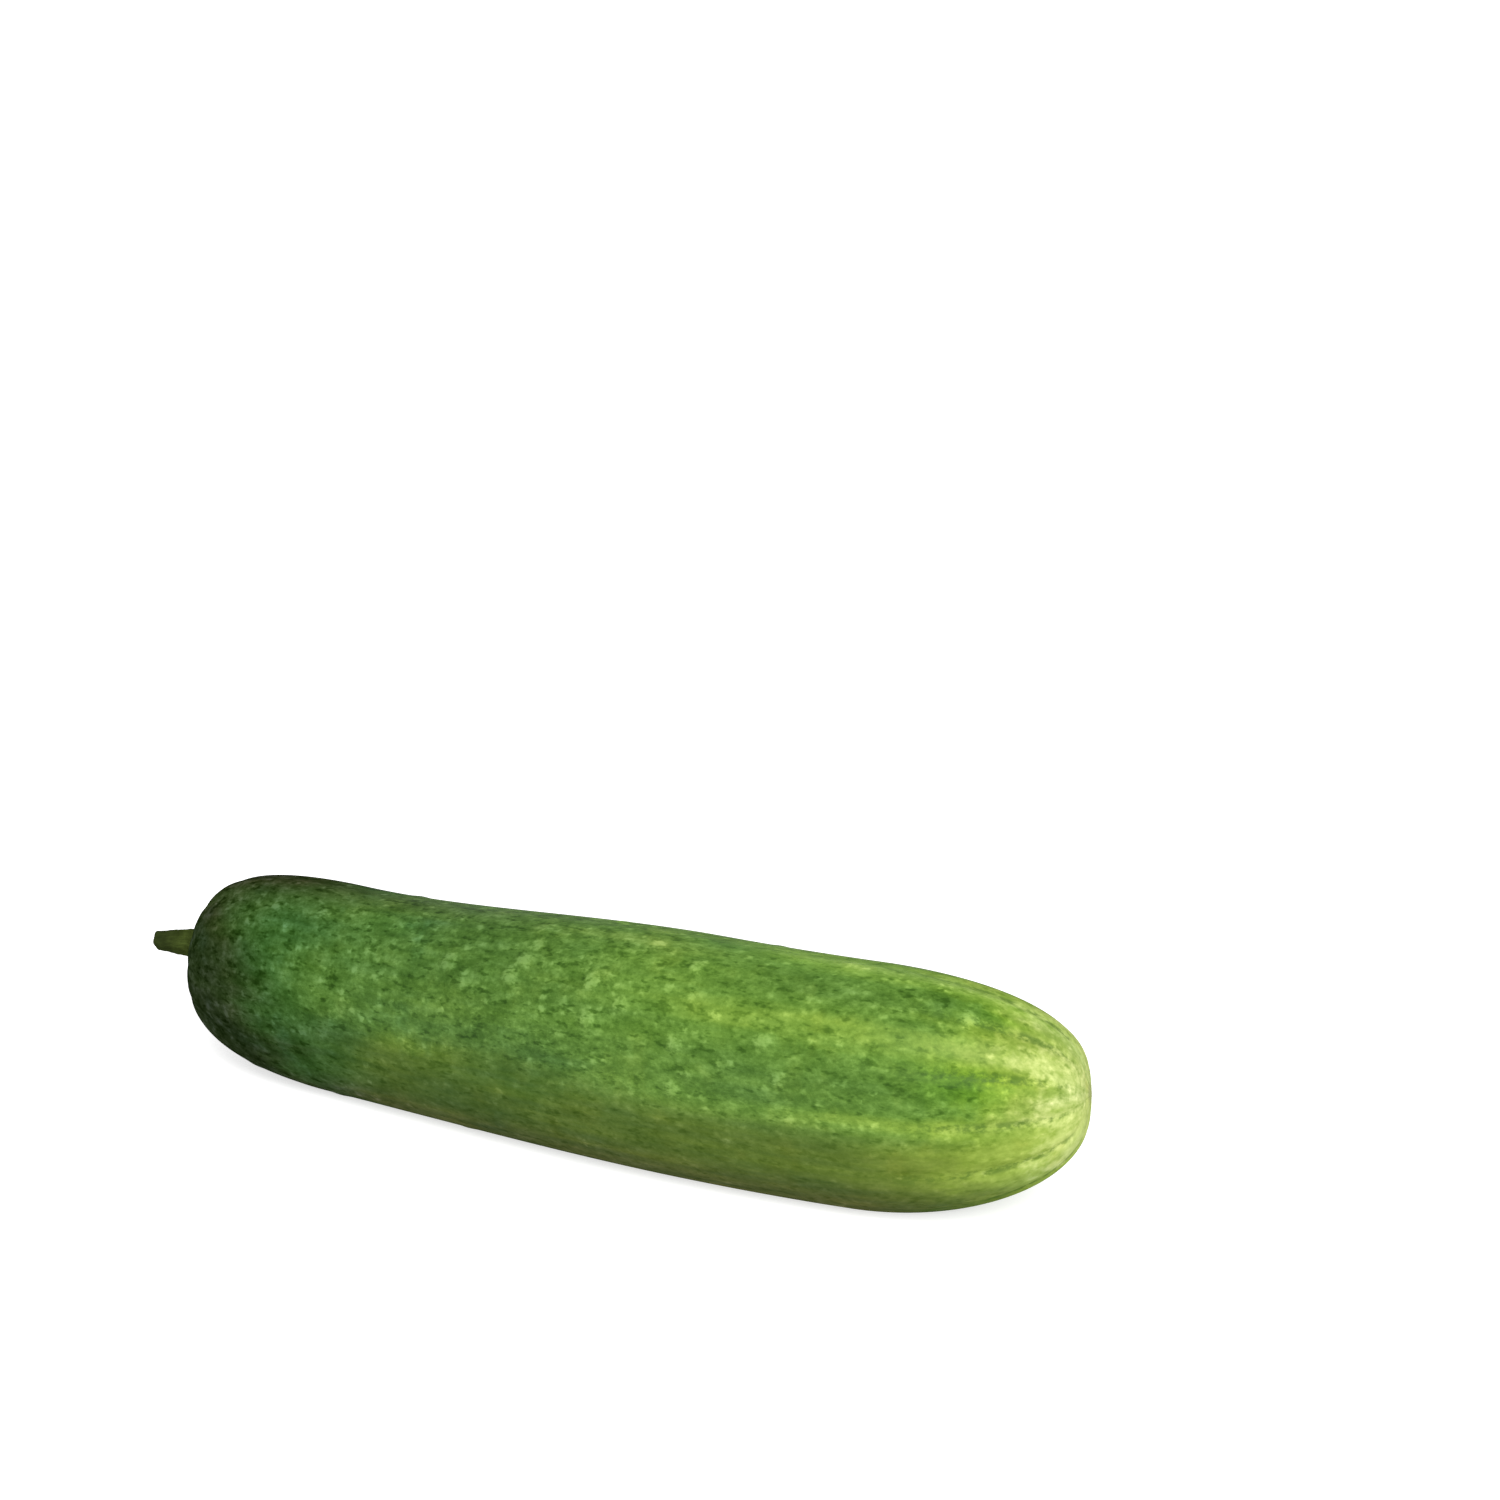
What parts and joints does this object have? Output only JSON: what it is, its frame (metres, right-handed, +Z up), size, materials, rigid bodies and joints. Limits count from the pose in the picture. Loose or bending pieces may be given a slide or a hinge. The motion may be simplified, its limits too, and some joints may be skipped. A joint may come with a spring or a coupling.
{
  "type": "cucumber",
  "caption": "Short stout cucumber lying on its belly, dark green at the stem end and yellow-green at the blossom end, with a stub of its stem; food or kitchen prop.",
  "frame": {"origin": "on the table, under the middle of the box round the whole cucumber", "axes": "+X from the stem end to the blossom end, +Z up, -Y towards the bowed front"},
  "size_m": [0.1882, 0.046, 0.0426],
  "materials": {
    "skin": "waxy satin skin, mottled, dark green at the stem end to yellow-green at the blossom end",
    "stem": "dull, ridged, olive green, dark at the cut"
  },
  "bodies": {
    "root": {"fruit": "skin", "stem": "stem"}
  },
  "joints": []
}
